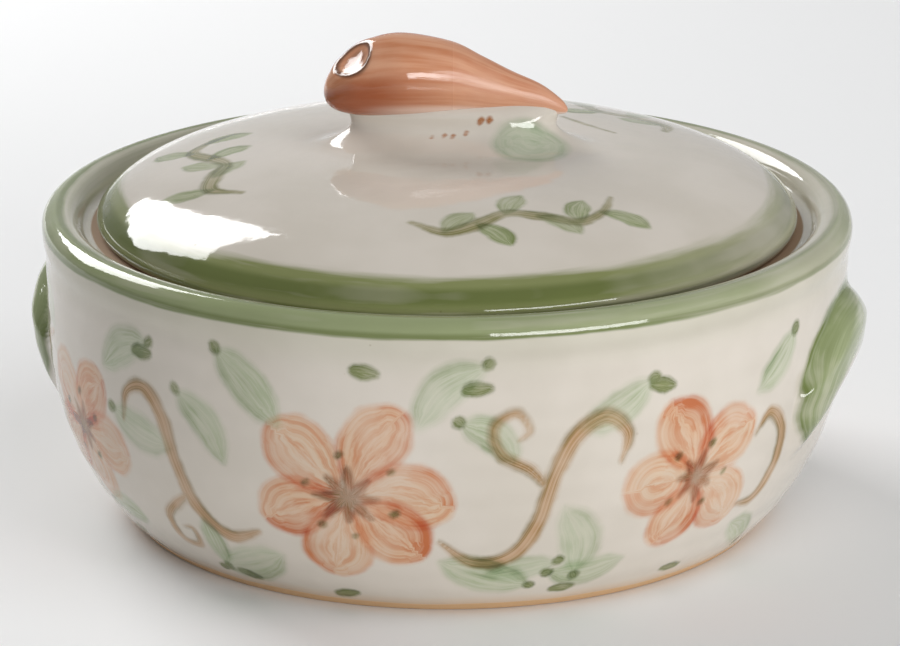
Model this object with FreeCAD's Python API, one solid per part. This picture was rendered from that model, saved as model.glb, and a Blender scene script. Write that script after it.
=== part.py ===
"""Covered casserole in glazed stoneware, at its real size in millimetres.

The dish is thrown on the wheel: a round pot with a turned foot, a wall that curves in
below the belly, a rolled lip, and a gallery inside the lip that the lid drops into.
Two arched lugs are joined to its sides and fired with it, so the dish is one solid.
The lid is a thrown dome with a rolled edge. A fruit-shaped knob lies across its top
on a low oval neck and is fired with it. The knob with its neck is a solid of its own,
so that the space round it stays open to fingers, and it sits face to face on the dome.

Frame: Z is the pot's axis, pointing up. Z = 0 is the table that the foot stands on.
The lugs lie on +X and -X. The lid is modelled where it rests, on the gallery's ledge.
"""

import FreeCAD
import Part

import math
import os

# The dish's outside
RIM_RADIUS = 120.0  # widest line of the rolled lip
RIM_HEIGHT = 93.2  # top of the lip above the table
LIP_RADIUS = 3.8  # roundness of the lip
LIP_STEP = 1.1  # how far the lip stands out from the wall below it
BELLY_HEIGHT = 62.0  # where the upright wall starts to curve in
BELLY_PULL = 28.0  # how far down the wall stays nearly upright
FOOT_RADIUS = 95.8  # where the outside wall ends
FOOT_PULL = 20.0  # how far up the wall keeps the slope that it has at the foot
FOOT_SLOPE = 44.5  # degrees, slope of the wall where it meets the foot
FOOT_ROUND = 1.2  # bevel that lifts the glaze off the table
FOOT_WIDTH = 9.0  # width of the ring that touches the table
FOOT_RECESS = 2.6  # depth of the turned hollow inside the ring
FOOT_RECESS_SLOPE = 3.0  # how far the hollow's side leans in

# The dish's inside
WALL = 6.5  # thickness of the upright wall
FLOOR = 8.6  # inside floor above the table
FLOOR_RADIUS = 80.0  # where the floor starts to turn up
INNER_PULL_DOWN = 33.0  # how far down the inside wall stays nearly upright
INNER_PULL_IN = 18.0  # how far out the floor stays nearly level

# The gallery that the lid rests in
GALLERY_DEPTH = 6.2  # ledge below the top of the lip
LIP_WIDTH = 11.6  # from the widest line to the foot of the gallery's slope
GALLERY_COVE = 2.6  # cove between the slope and the ledge
LEDGE_WIDTH = 10.4  # flat ledge, from the cove to its rounded inner edge
LEDGE_THICKNESS = 5.4
LEDGE_ROOT = 11.0  # how far below the ledge its underside reaches the wall

# The lugs
LUG_SIDES = (0.0, 180.0)  # degrees round the pot
LUG_HALF_ANGLE = 21.0  # degrees from a lug's middle to each end
LUG_REACH = 6.0  # how far the middle stands out from the wall
LUG_ENDS = 6.0  # larger keeps that reach closer to the ends
LUG_TOP = 76.5  # upper edge where it meets the wall, at the middle
LUG_TOP_DROP = 9.0  # how much lower the upper edge is at the ends
LUG_SHOULDERS = 5.0  # larger keeps the upper edge level closer to the ends
LUG_PEAK = 58.5  # height of the part that stands out most, at the middle
LUG_PEAK_DROP = 15.5
LUG_GRIP = 50.5  # lower edge at the middle, where the fingers go
LUG_GRIP_DROP = 16.0
LUG_ROOT = 3.2  # how deep the lug is set into the wall
LUG_FILLET = 1.4  # clay smoothed into the corner between lug and wall

# The lid
LID_TURN = 13.5  # degrees that the lid is turned on the dish
LID_CLEARANCE = 3.4  # between the lid's edge and the foot of the gallery's slope
LID_EDGE = 2.8  # roundness of the rolled edge
LID_EDGE_WIDTH = 8.4  # from the edge to the hollow underneath
LID_RISE = 20.7  # height of the dome above the edge's widest line
LID_THICKNESS = 5.6  # of the dome at its middle
DOME_LEVEL = 44.0  # radius of the level part in the dome's middle
DOME_PULL_OUT = 45.5  # how far out from there the dome stays nearly level
DOME_PULL_UP = 5.6  # how far up from the edge it stays nearly upright

# The knob: stations along the fruit, each with its place along the knob, the height of
# its middle above the fruit's underside and its radius
KNOB_BLUNT_END = (-36.2, 7.1)
KNOB_TIP = (35.6, 1.0)
KNOB_STATIONS = (
    (-34.8, 7.2, 4.0),
    (-31.6, 8.6, 7.4),
    (-25.5, 10.7, 10.6),
    (-14.4, 12.2, 12.2),
    (0.9, 11.0, 11.0),
    (10.5, 8.7, 8.7),
    (19.0, 6.5, 6.4),
    (27.5, 4.6, 4.5),
    (33.2, 2.3, 2.4),
)
KNOB_LIFT = 9.0  # underside of the fruit above the dome
NECK_OFFSET = 2.0  # middle of the neck along the knob
NECK_LENGTH = 62.0  # the neck under the fruit, where it is narrowest
NECK_WIDTH = 17.0
NECK_FLARE = 10.0  # how much the neck widens, all round, down to the dome
NECK_FLARE_CURVE = 3.0  # larger keeps the widening closer to the dome
NECK_SEAT = 1.5  # how far the neck rises round the fruit's underside
NECK_SINK = 3.0  # how far the neck runs on inside the dome and the fruit
NECK_TAPER = 5.0  # how much it narrows there, all round, inside the fruit
DIMPLE_RADIUS = 6.4  # the hollow at the fruit's blossom end
DIMPLE_DEPTH = 1.9
DIMPLE_PLACE = (-27.2, -3.0, 18.2)  # on the fruit, from the lid's axis and its underside
DIMPLE_TILT = 42.0  # degrees above level that the blossom end looks


def at(radius, height):
    """A point of a turned outline, in the plane y = 0."""
    return FreeCAD.Vector(radius, 0, height)


def line(start, end):
    return Part.LineSegment(start, end).toShape()


def arc(start, middle, end):
    return Part.Arc(start, middle, end).toShape()


def pulled(start, start_handle, end_handle, end):
    """A smooth stretch that leaves each end towards its handle."""
    curve = Part.BezierCurve()
    curve.setPoles([start, start_handle, end_handle, end])
    return curve.toShape()


def through(points, start_tangent=None, end_tangent=None):
    """A smooth curve through the points."""
    curve = Part.BSplineCurve()
    if start_tangent is None:
        curve.interpolate(Points=points)
    else:
        curve.interpolate(
            Points=points, InitialTangent=start_tangent, FinalTangent=end_tangent
        )
    return curve.toShape()


def turned(edges):
    """The solid of revolution round Z of a closed outline."""
    face = Part.Face(Part.Wire(edges))
    return face.revolve(FreeCAD.Vector(0, 0, 0), FreeCAD.Vector(0, 0, 1), 360)


def on_circle(centre, radius, degrees):
    angle = math.radians(degrees)
    return centre + FreeCAD.Vector(radius * math.cos(angle), 0, radius * math.sin(angle))


# Sizes that follow from the ones above
WALL_RADIUS = RIM_RADIUS - LIP_STEP
LIP_CENTRE = at(RIM_RADIUS - LIP_RADIUS, RIM_HEIGHT - LIP_RADIUS)
LEDGE_HEIGHT = RIM_HEIGHT - GALLERY_DEPTH
GALLERY_RADIUS = RIM_RADIUS - LIP_WIDTH
LEDGE_INNER = GALLERY_RADIUS - GALLERY_COVE - LEDGE_WIDTH
LID_RADIUS = GALLERY_RADIUS - LID_CLEARANCE - GALLERY_COVE / 2
LID_EDGE_HEIGHT = LEDGE_HEIGHT + LID_EDGE
DOME_TOP = LID_EDGE_HEIGHT + LID_RISE
FRUIT_BASE = DOME_TOP + KNOB_LIFT


def outer_wall_poles():
    """The outside wall below the belly, from the belly down to the foot."""
    slope = math.radians(FOOT_SLOPE)
    foot = at(FOOT_RADIUS, FOOT_ROUND)
    return (
        at(WALL_RADIUS, BELLY_HEIGHT),
        at(WALL_RADIUS, BELLY_HEIGHT - BELLY_PULL),
        foot + at(FOOT_PULL * math.cos(slope), FOOT_PULL * math.sin(slope)),
        foot,
    )


def wall_radius(height):
    """Radius of the outside wall at a height above the table."""
    if height >= BELLY_HEIGHT:
        return WALL_RADIUS
    curve = Part.BezierCurve()
    curve.setPoles(list(outer_wall_poles()))
    high, low = 0.0, 1.0
    for _ in range(40):
        middle = (high + low) / 2
        if curve.value(middle).z > height:
            high = middle
        else:
            low = middle
    return curve.value(low).x


def dish_body():
    """The thrown pot with its lip, gallery, inside and foot, as one turned solid."""
    lip_root_angle = -math.degrees(math.acos(1 - LIP_STEP / LIP_RADIUS))
    lip_root = on_circle(LIP_CENTRE, LIP_RADIUS, lip_root_angle)
    lip_inside = on_circle(LIP_CENTRE, LIP_RADIUS, 125)
    slope_foot = at(GALLERY_RADIUS, LEDGE_HEIGHT + GALLERY_COVE / 2)
    cove_middle = at(GALLERY_RADIUS - 0.45 * GALLERY_COVE, LEDGE_HEIGHT + 0.14 * GALLERY_COVE)
    ledge_outer = at(GALLERY_RADIUS - GALLERY_COVE, LEDGE_HEIGHT)
    ledge_round = LEDGE_THICKNESS / 2
    ledge_inner = at(LEDGE_INNER + ledge_round, LEDGE_HEIGHT)
    ledge_nose = at(LEDGE_INNER, LEDGE_HEIGHT - ledge_round)
    ledge_under = at(LEDGE_INNER + ledge_round, LEDGE_HEIGHT - LEDGE_THICKNESS)
    inner_radius = WALL_RADIUS - WALL
    ledge_root = at(inner_radius, LEDGE_HEIGHT - LEDGE_THICKNESS - LEDGE_ROOT)
    inner_belly = at(inner_radius, BELLY_HEIGHT)
    floor_edge = at(FLOOR_RADIUS, FLOOR)
    belly, belly_handle, foot_handle, foot = outer_wall_poles()
    ring_outer = at(FOOT_RADIUS - FOOT_ROUND, 0)
    ring_inner = at(FOOT_RADIUS - FOOT_ROUND - FOOT_WIDTH, 0)
    recess_edge = ring_inner + at(-FOOT_RECESS_SLOPE, FOOT_RECESS)
    return turned(
        [
            line(at(0, FOOT_RECESS), recess_edge),
            line(recess_edge, ring_inner),
            line(ring_inner, ring_outer),
            line(ring_outer, foot),
            pulled(foot, foot_handle, belly_handle, belly),
            line(belly, at(WALL_RADIUS, lip_root.z)),
            arc(lip_root, on_circle(LIP_CENTRE, LIP_RADIUS, 30), lip_inside),
            line(lip_inside, slope_foot),
            arc(slope_foot, cove_middle, ledge_outer),
            line(ledge_outer, ledge_inner),
            arc(ledge_inner, ledge_nose, ledge_under),
            pulled(
                ledge_under,
                ledge_under + at(ledge_round, 0),
                ledge_root + at(0, ledge_round),
                ledge_root,
            ),
            line(ledge_root, inner_belly),
            pulled(
                inner_belly,
                inner_belly - at(0, INNER_PULL_DOWN),
                floor_edge + at(INNER_PULL_IN, 0),
                floor_edge,
            ),
            line(floor_edge, at(0, FLOOR)),
            line(at(0, FLOOR), at(0, FOOT_RECESS)),
        ]
    )


def lug_section(share):
    """The lug's outline in an upright plane through the pot's axis. share is 0 at the
    lug's middle and 1 at its ends, where the lug has sunk into the wall."""
    top = LUG_TOP - LUG_TOP_DROP * abs(share) ** LUG_SHOULDERS
    peak = LUG_PEAK - LUG_PEAK_DROP * share**2
    grip = LUG_GRIP - LUG_GRIP_DROP * share**2
    reach = LUG_REACH - (LUG_REACH + 0.6 * LUG_ROOT) * abs(share) ** LUG_ENDS
    shoulder = (top + peak) / 2
    points = (
        at(wall_radius(top) - LUG_ROOT, top + LUG_ROOT / 2),
        at(wall_radius(shoulder) + 0.62 * reach, shoulder),
        at(wall_radius(peak) + reach, peak),
        at(wall_radius(grip) + 0.45 * reach, (peak + 3 * grip) / 4),
        at(wall_radius(grip) - LUG_ROOT, grip - LUG_ROOT / 4),
    )
    return Part.Wire([through(list(points)), line(points[-1], points[0])])


def lug(side):
    """One lug, lofted through sections that fan out round the pot's axis."""
    sections = []
    for share in (-1.0, -0.9, -0.76, -0.5, 0.0, 0.5, 0.76, 0.9, 1.0):
        section = lug_section(share)
        angle = side + share * LUG_HALF_ANGLE
        section.rotate(FreeCAD.Vector(0, 0, 0), FreeCAD.Vector(0, 0, 1), angle)
        sections.append(section)
    return Part.makeLoft(sections, True)


def filleted_where(solid, radius, chosen):
    """The solid with the chosen edges rounded."""
    edges = [edge for edge in solid.Edges if chosen(edge)]
    return solid.makeFillet(radius, edges)


def dish():
    body = dish_body()
    lugs = [lug(side) for side in LUG_SIDES]
    joined = body.fuse(lugs).removeSplitter()

    def at_lug_root(edge):
        """True for the curves where a lug's face leaves the outside wall."""
        box = edge.BoundBox
        middle = edge.valueAt((edge.FirstParameter + edge.LastParameter) / 2)
        reach = math.hypot(middle.x, middle.y) - wall_radius(middle.z)
        spans = box.XLength < 2 * RIM_RADIUS - 1
        return spans and abs(reach) < LUG_ROOT / 4 and LUG_GRIP / 3 < middle.z < LUG_TOP + 2

    return filleted_where(joined, LUG_FILLET, at_lug_root)


def dome_curve(foot, top):
    """The dome's outline, from the level part in its middle down to its foot."""
    level_edge = at(DOME_LEVEL, top)
    return pulled(
        level_edge, level_edge + at(DOME_PULL_OUT, 0), foot + at(0, DOME_PULL_UP), foot
    )


def lid_shell():
    """The thrown dome with its rolled edge, as one turned solid."""
    edge = at(LID_RADIUS, LID_EDGE_HEIGHT)
    edge_centre = at(LID_RADIUS - LID_EDGE, LID_EDGE_HEIGHT)
    seat_outer = at(LID_RADIUS - LID_EDGE, LEDGE_HEIGHT)
    hollow_foot = at(LID_RADIUS - LID_EDGE_WIDTH, LEDGE_HEIGHT)
    hollow_top = DOME_TOP - LID_THICKNESS
    return turned(
        [
            line(at(0, DOME_TOP), at(DOME_LEVEL, DOME_TOP)),
            dome_curve(edge, DOME_TOP),
            arc(edge, on_circle(edge_centre, LID_EDGE, -45), seat_outer),
            line(seat_outer, hollow_foot),
            dome_curve(hollow_foot, hollow_top),
            line(at(DOME_LEVEL, hollow_top), at(0, hollow_top)),
            line(at(0, hollow_top), at(0, DOME_TOP)),
        ]
    )


def fruit():
    """The fruit that serves as the knob, lofted through round sections. Its underside
    is level, so its middle line falls towards the tip."""
    along = FreeCAD.Vector(1, 0, 0)

    def station(place, height, radius):
        centre = FreeCAD.Vector(place, 0, FRUIT_BASE + height)
        return Part.Wire(Part.Circle(centre, along, radius).toShape())

    def end(place, height):
        return Part.Vertex(FreeCAD.Vector(place, 0, FRUIT_BASE + height))

    rings = [station(*values) for values in KNOB_STATIONS]
    return Part.makeLoft([end(*KNOB_BLUNT_END), *rings, end(*KNOB_TIP)], True)


def neck_section(height, flare):
    """A level oval under the fruit, wider than the neck by the flare all round."""
    centre = FreeCAD.Vector(NECK_OFFSET, 0, height)
    oval = Part.Ellipse(
        centre + FreeCAD.Vector(NECK_LENGTH / 2 + flare, 0, 0),
        centre + FreeCAD.Vector(0, NECK_WIDTH / 2 + flare, 0),
        centre,
    )
    return Part.Wire(oval.toShape())


def neck():
    """The low oval neck between the dome and the fruit, flaring out at its foot."""
    ovals = []
    for share in (-NECK_SINK / KNOB_LIFT, 0.0, 0.2, 0.45, 0.75, 1.0):
        flare = NECK_FLARE * (1 - share) ** NECK_FLARE_CURVE
        height = DOME_TOP + share * (KNOB_LIFT + NECK_SEAT)
        ovals.append(neck_section(height, flare))
    ovals.append(neck_section(FRUIT_BASE + NECK_SEAT + NECK_SINK, -NECK_TAPER))
    return Part.makeLoft(ovals, True)


def dimple():
    """A ball set against the fruit's blossom end. Cutting it leaves a shallow hollow."""
    ball_radius = (DIMPLE_RADIUS**2 + DIMPLE_DEPTH**2) / (2 * DIMPLE_DEPTH)
    tilt = math.radians(DIMPLE_TILT)
    outwards = FreeCAD.Vector(-math.cos(tilt), 0, math.sin(tilt))
    x, y, z = DIMPLE_PLACE
    place = FreeCAD.Vector(x, y, FRUIT_BASE + z)
    return Part.makeSphere(ball_radius, place + outwards * (ball_radius - DIMPLE_DEPTH))


def lid():
    """The dome, turned to its resting place."""
    return turned_on_dish(lid_shell())


def knob():
    """The fruit on its neck, cut off where it meets the dome."""
    whole = neck().fuse(fruit().cut(dimple()))
    return turned_on_dish(whole.cut(lid_shell()).removeSplitter())


def turned_on_dish(shape):
    shape.rotate(FreeCAD.Vector(0, 0, 0), FreeCAD.Vector(0, 0, 1), LID_TURN)
    return shape


def save(name, shape):
    """Writes one piece, after a test that it is one sound solid."""
    solids = shape.Solids
    if len(solids) != 1 or not solids[0].isValid():
        raise ValueError(f"{name} came out as {len(solids)} solids, or as one that isn't sound")
    solids[0].exportStep(f"parts/{name}.step")
    print(name, "volume", round(solids[0].Volume / 1000, 1), "cm3")


if __name__ == "__main__":
    os.makedirs("parts", exist_ok=True)
    save("dish", dish())
    save("lid", lid())
    save("knob", knob())
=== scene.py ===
"""The looks of the covered casserole: its thrown walls, sculpted lid, painting and glaze.

Shapes are worked out in millimetres and become metres when their mesh is made.
The pot's axis is Z and it stands at z = 0. The lugs lie on +X and -X.
"""

import math

import bpy
import numpy as np
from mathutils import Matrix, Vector


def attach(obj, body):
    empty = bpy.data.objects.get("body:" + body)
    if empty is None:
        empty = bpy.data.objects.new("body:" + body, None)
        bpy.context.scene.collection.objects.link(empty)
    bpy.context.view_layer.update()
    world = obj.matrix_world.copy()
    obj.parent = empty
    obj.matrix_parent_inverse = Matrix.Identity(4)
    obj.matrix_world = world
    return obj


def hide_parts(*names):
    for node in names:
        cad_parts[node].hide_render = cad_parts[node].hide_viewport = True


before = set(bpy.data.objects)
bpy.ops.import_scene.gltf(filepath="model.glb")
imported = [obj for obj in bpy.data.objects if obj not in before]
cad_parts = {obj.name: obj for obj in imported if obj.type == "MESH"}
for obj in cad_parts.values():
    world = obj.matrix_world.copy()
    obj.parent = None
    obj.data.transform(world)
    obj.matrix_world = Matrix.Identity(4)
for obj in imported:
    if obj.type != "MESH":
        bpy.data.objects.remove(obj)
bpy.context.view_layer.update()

MM = 0.001

# The dish, as in the construction, apart from the lip's roll, which is fuller here
RIM_RADIUS = 120.0
RIM_HEIGHT = 93.2
LIP_ROLL = 5.0
WALL_RADIUS = 118.9
BELLY_HEIGHT = 62.0
LIP_START = 79.5
WALL_END = 86.4
FOOT_RADIUS = 95.8
FOOT_ROUND = 1.2
FOOT_RING = (86.6, 93.8)
RECESS_RADIUS = 82.4
RECESS_HEIGHT = 2.6
GALLERY_RADIUS = 108.4
LEDGE_HEIGHT = 87.0
LEDGE_OUTER = 105.8
LEDGE_INNER = 95.4
LEDGE_ROUND = 2.7
INSIDE_RADIUS = 112.4
FLOOR_RADIUS = 80.0
FLOOR_HEIGHT = 8.6
WALL_POINT_SPACING = 1.14

# The lugs. Each height is given at the lug's middle, with its fall to the lug's ends
LUG_HALF_ANGLE = 20.5
LUG_REACH = 5.97
LUG_TOP = (74.0, 22.6)
LUG_PEAK = (63.5, 13.3)
LUG_GRIP = (45.1, 25.1)

# The lid
LID_TURN = 13.5
LID_RADIUS = 103.7
LID_EDGE = 2.8
LID_EDGE_HEIGHT = 89.8
LID_INSIDE = 95.3
LID_SEAT = (96.4, 100.9)
LID_UNDERSIDE = 104.9
DOME_TOP = 110.6
FRUIT_BASE = 119.5
NECK_MIDDLE = 2.0
NECK_HALF_LENGTH = 31.0
NECK_HALF_WIDTH = 8.5
NECK_FLARE = 10.0
NECK_HEIGHT = 10.4
NECK_REACH = 14.0

# How finely each piece is turned, and the potter's finger marks in the wall
DISH_COLUMNS = 640
LID_COLUMNS = 620
FRUIT_COLUMNS = 200
FRUIT_ROWS = 150
FINGER_MARK_DEPTH = 0.16
FINGER_MARK_SPACING = 8.5

# The photograph's view: the camera stands a little towards the lug on +X
CAMERA_TURN = 13.5
CAMERA_TILT = 17.7746
CAMERA_DISTANCE = 1.3
CAMERA_LENS = 173.73
CAMERA_SENSOR = 36.0
CAMERA_AIM = (0.00087, 0.0, 0.05467)

# The kinds of node that come up often
MATHS = "ShaderNodeMath"
VECTORS = "ShaderNodeVectorMath"
RANGE = "ShaderNodeMapRange"
NOISE = "ShaderNodeTexNoise"
MIX = "ShaderNodeMix"
SPLIT = "ShaderNodeSeparateXYZ"
JOIN = "ShaderNodeCombineXYZ"


def linear(colour):
    """A #rrggbb colour as linear red, green, blue and alpha."""
    values = [int(colour[i : i + 2], 16) / 255 for i in (1, 3, 5)]
    return [
        v / 12.92 if v <= 0.04045 else ((v + 0.055) / 1.055) ** 2.4 for v in values
    ] + [1.0]


def add(tree, kind, links=(), **settings):
    """A new node with its settings. The links are given by input, or in a row for the
    first inputs. Each is a socket, the node whose first output is joined, or a value."""
    made = tree.nodes.new(kind)
    for name, value in settings.items():
        setattr(made, name, value)
    named = links.items() if isinstance(links, dict) else enumerate(links)
    for name, value in named:
        if isinstance(value, bpy.types.Node):
            value = next(socket for socket in value.outputs if socket.enabled)
        if isinstance(value, bpy.types.NodeSocket):
            tree.links.new(value, made.inputs[name])
        else:
            made.inputs[name].default_value = value
    return made


# Outlines


def pulled(start, start_handle, end_handle, end, count):
    """Points of a curve that leaves each end towards its handle."""
    t = np.linspace(0, 1, count)[:, None]
    a, b, c, d = (np.array(p, float) for p in (start, start_handle, end_handle, end))
    return (1 - t) ** 3 * a + 3 * (1 - t) ** 2 * t * b + 3 * (1 - t) * t**2 * c + t**3 * d


def arc(centre, radius, start, end, count):
    angle = np.radians(np.linspace(start, end, count))
    return np.array(centre) + radius * np.column_stack([np.cos(angle), np.sin(angle)])


def straight(start, end, count):
    t = np.linspace(0, 1, count)[:, None]
    return np.array(start, float) * (1 - t) + np.array(end, float) * t


def joined(*stretches):
    """One outline from stretches that each start where the last one ends."""
    return np.vstack([stretches[0]] + [s[1:] for s in stretches[1:]])


def evened(points, spacing):
    """The same line with its points the spacing apart."""
    steps = np.hypot(*np.diff(points, axis=0).T)
    along = np.concatenate([[0], np.cumsum(steps)])
    count = max(2, int(round(along[-1] / spacing)) + 1)
    places = np.linspace(0, along[-1], count)
    return np.column_stack([np.interp(places, along, points[:, k]) for k in (0, 1)])


# The wall leaves the foot at 44.5 degrees and stands upright from the belly to the lip
FOOT_PULL = (20 * math.cos(math.radians(44.5)), 20 * math.sin(math.radians(44.5)))
FOOT_CURVE = pulled(
    (FOOT_RADIUS, FOOT_ROUND),
    (FOOT_RADIUS + FOOT_PULL[0], FOOT_ROUND + FOOT_PULL[1]),
    (WALL_RADIUS, BELLY_HEIGHT - 28),
    (WALL_RADIUS, BELLY_HEIGHT),
    200,
)
OUTER_WALL = joined(
    FOOT_CURVE, straight((WALL_RADIUS, BELLY_HEIGHT), (WALL_RADIUS, WALL_END), 40)
)


def dish_outline():
    """Radius and height from the middle of the foot round to the middle of the floor."""
    ring_in, ring_out = FOOT_RING
    lip = (RIM_RADIUS - 0.1 - LIP_ROLL, RIM_HEIGHT - LIP_ROLL)
    lip_side = (lip[0] + LIP_ROLL, lip[1])
    gallery_foot = (GALLERY_RADIUS, 88.2)
    ledge_end = LEDGE_INNER + LEDGE_ROUND
    under_ledge = LEDGE_HEIGHT - 2 * LEDGE_ROUND
    belly = (INSIDE_RADIUS, BELLY_HEIGHT)
    floor_edge = (FLOOR_RADIUS, FLOOR_HEIGHT)
    under_gallery = ((INSIDE_RADIUS, 73.3), (INSIDE_RADIUS, 70.6))
    return joined(
        straight((0, RECESS_HEIGHT), (RECESS_RADIUS, RECESS_HEIGHT), 5),
        pulled((RECESS_RADIUS, RECESS_HEIGHT), (84.6, 2.4), (84.8, 0.1), (ring_in, 0), 4),
        straight((ring_in, 0), (ring_out, 0), 4),
        pulled((ring_out, 0), (94.8, 0), (95.4, 0.6), (FOOT_RADIUS, FOOT_ROUND), 4),
        evened(OUTER_WALL[OUTER_WALL[:, 1] < LIP_START], WALL_POINT_SPACING),
        pulled((WALL_RADIUS, LIP_START), (WALL_RADIUS, 83.0), (119.9, 84.0), lip_side, 9),
        arc(lip, LIP_ROLL, 0, 97, 15),
        pulled((114.3, 93.16), (111.4, 93.0), (109.5, 91.2), gallery_foot, 12),
        pulled(gallery_foot, (108.1, 87.4), (107.3, 87.0), (LEDGE_OUTER, LEDGE_HEIGHT), 5),
        straight((LEDGE_OUTER, LEDGE_HEIGHT), (ledge_end, LEDGE_HEIGHT), 4),
        arc((ledge_end, LEDGE_HEIGHT - LEDGE_ROUND), LEDGE_ROUND, 90, 270, 6),
        pulled((ledge_end, under_ledge), (100.9, under_ledge), *under_gallery, 5),
        straight(under_gallery[1], belly, 3),
        pulled(belly, (INSIDE_RADIUS, 29.0), (98.0, FLOOR_HEIGHT), floor_edge, 15),
        straight(floor_edge, (0, FLOOR_HEIGHT), 5),
    )


def thrown_wall_tree():
    """Geometry nodes that turn an outline round Z, with the marks of the potter's fingers."""
    tree = bpy.data.node_groups.new("thrown wall", "GeometryNodeTree")
    for name, kind in (
        ("Outline", "NodeSocketObject"),
        ("Rows", "NodeSocketInt"),
        ("Columns", "NodeSocketInt"),
        ("Finger Mark Depth", "NodeSocketFloat"),
        ("Finger Mark Spacing", "NodeSocketFloat"),
        ("Seed", "NodeSocketFloat"),
        ("Clay", "NodeSocketMaterial"),
    ):
        tree.interface.new_socket(name=name, in_out="INPUT", socket_type=kind)
    tree.interface.new_socket(
        name="Geometry", in_out="OUTPUT", socket_type="NodeSocketGeometry"
    )
    given = add(tree, "NodeGroupInput").outputs

    # A flat grid, whose columns go round the pot and whose rows follow the outline
    columns = add(tree, MATHS, (given["Columns"], 1.0), operation="ADD")
    size = {"Size X": 1.0, "Size Y": 1.0, "Vertices X": columns, "Vertices Y": given["Rows"]}
    grid = add(tree, "GeometryNodeMeshGrid", size)
    spot = add(tree, SPLIT, (add(tree, "GeometryNodeInputPosition"),)).outputs
    share_round = add(tree, MATHS, (spot["X"], 0.5), operation="ADD")
    turn = add(tree, MATHS, (share_round, math.tau), operation="MULTIPLY")
    cosine = add(tree, MATHS, (turn,), operation="COSINE")
    sine = add(tree, MATHS, (turn,), operation="SINE")
    last_row = add(tree, MATHS, (given["Rows"], 1.0), operation="SUBTRACT")
    share_along = add(tree, MATHS, (spot["Y"], 0.5), operation="ADD")
    row = add(tree, MATHS, (share_along, last_row), operation="MULTIPLY")
    row = add(tree, MATHS, (row,), operation="ROUND")
    outline = add(tree, "GeometryNodeObjectInfo", {"Object": given["Outline"]})
    looked_up = {"Geometry": outline.outputs["Geometry"], "Index": row}
    sample = add(tree, "GeometryNodeSampleIndex", looked_up, data_type="FLOAT_VECTOR")
    value = next(s for s in sample.inputs if s.name == "Value" and s.enabled)
    tree.links.new(add(tree, "GeometryNodeInputPosition").outputs[0], value)
    point = add(tree, SPLIT, (sample,)).outputs
    radius, height = point["X"], point["Z"]
    # A finger mark climbs one spacing in each turn of the wheel
    climb = add(tree, MATHS, (height, given["Finger Mark Spacing"]), operation="DIVIDE")
    climb = add(tree, MATHS, (climb, share_round), operation="SUBTRACT")
    wave = add(tree, MATHS, (climb, math.tau), operation="MULTIPLY")
    wave = add(tree, MATHS, (wave,), operation="SINE")
    level = add(tree, MATHS, (height, 40.0), operation="MULTIPLY")
    around = add(tree, JOIN, {"X": cosine, "Y": sine, "Z": level})
    unevenness = {"Vector": around, "W": given["Seed"], "Scale": 1.3, "Detail": 1.0}
    drift = add(tree, NOISE, unevenness, noise_dimensions="4D")
    # Marks fade out towards the axis, so that the poles stay closed
    near_wall = add(tree, MATHS, (radius, 20.0), operation="MULTIPLY")
    near_wall = add(tree, MATHS, (near_wall, 1.0), operation="MINIMUM")
    for share in (drift, given["Finger Mark Depth"], near_wall):
        wave = add(tree, MATHS, (wave, share), operation="MULTIPLY")
    marked = add(tree, MATHS, (wave, radius), operation="ADD")
    across = add(tree, MATHS, (marked, cosine), operation="MULTIPLY")
    away = add(tree, MATHS, (marked, sine), operation="MULTIPLY")
    spun = add(tree, JOIN, {"X": across, "Y": away, "Z": height})
    shape = {"Geometry": grid.outputs["Mesh"], "Position": spun}
    shaped = add(tree, "GeometryNodeSetPosition", shape)
    closed = add(tree, "GeometryNodeMergeByDistance", {"Geometry": shaped, "Distance": 0.00001})
    smooth = add(tree, "GeometryNodeSetShadeSmooth", {"Geometry": closed})
    clay = add(tree, "GeometryNodeSetMaterial", {"Geometry": smooth, "Material": given["Clay"]})
    add(tree, "NodeGroupOutput", {"Geometry": clay})
    return tree


def in_scene(name, data):
    """An object of the data, in the scene and at its origin."""
    made = bpy.data.objects.new(name, data)
    bpy.context.scene.collection.objects.link(made)
    return made


def thrown(name, outline, material):
    """The plain mesh of an outline turned on the wheel, still centred on the axis."""
    rows = [(r * MM, 0.0, z * MM) for r, z in outline]
    line = bpy.data.meshes.new(name + "_outline")
    line.from_pydata(rows, [(i, i + 1) for i in range(len(rows) - 1)], [])
    guide = in_scene(name + "_outline", line)
    turned = in_scene(name + "_turned", bpy.data.meshes.new(name + "_turned"))
    tree = thrown_wall_tree()
    modifier = turned.modifiers.new("thrown wall", "NODES")
    modifier.node_group = tree
    values = {
        "Outline": guide,
        "Rows": len(rows),
        "Columns": DISH_COLUMNS,
        "Finger Mark Depth": FINGER_MARK_DEPTH * MM,
        "Finger Mark Spacing": FINGER_MARK_SPACING * MM,
        "Seed": 3.0,
        "Clay": material,
    }
    for item in tree.interface.items_tree:
        if item.in_out == "INPUT":
            modifier[item.identifier] = values[item.name]
    bpy.context.view_layer.update()
    seen = turned.evaluated_get(bpy.context.evaluated_depsgraph_get())
    mesh = bpy.data.meshes.new_from_object(seen)
    bpy.data.objects.remove(turned)
    bpy.data.objects.remove(guide)
    mesh.name = name
    return mesh


def closing(loops):
    """The loops' points in a row, with the first and the last loop each as one point."""
    return np.vstack([loops[0].mean(0), loops[1:-1].reshape(-1, 3), loops[-1].mean(0)])


def smooth_mesh(name, points, faces, material):
    mesh = bpy.data.meshes.new(name)
    mesh.from_pydata(points, [], faces)
    mesh.materials.append(material)
    mesh.shade_smooth()
    return mesh


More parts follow.
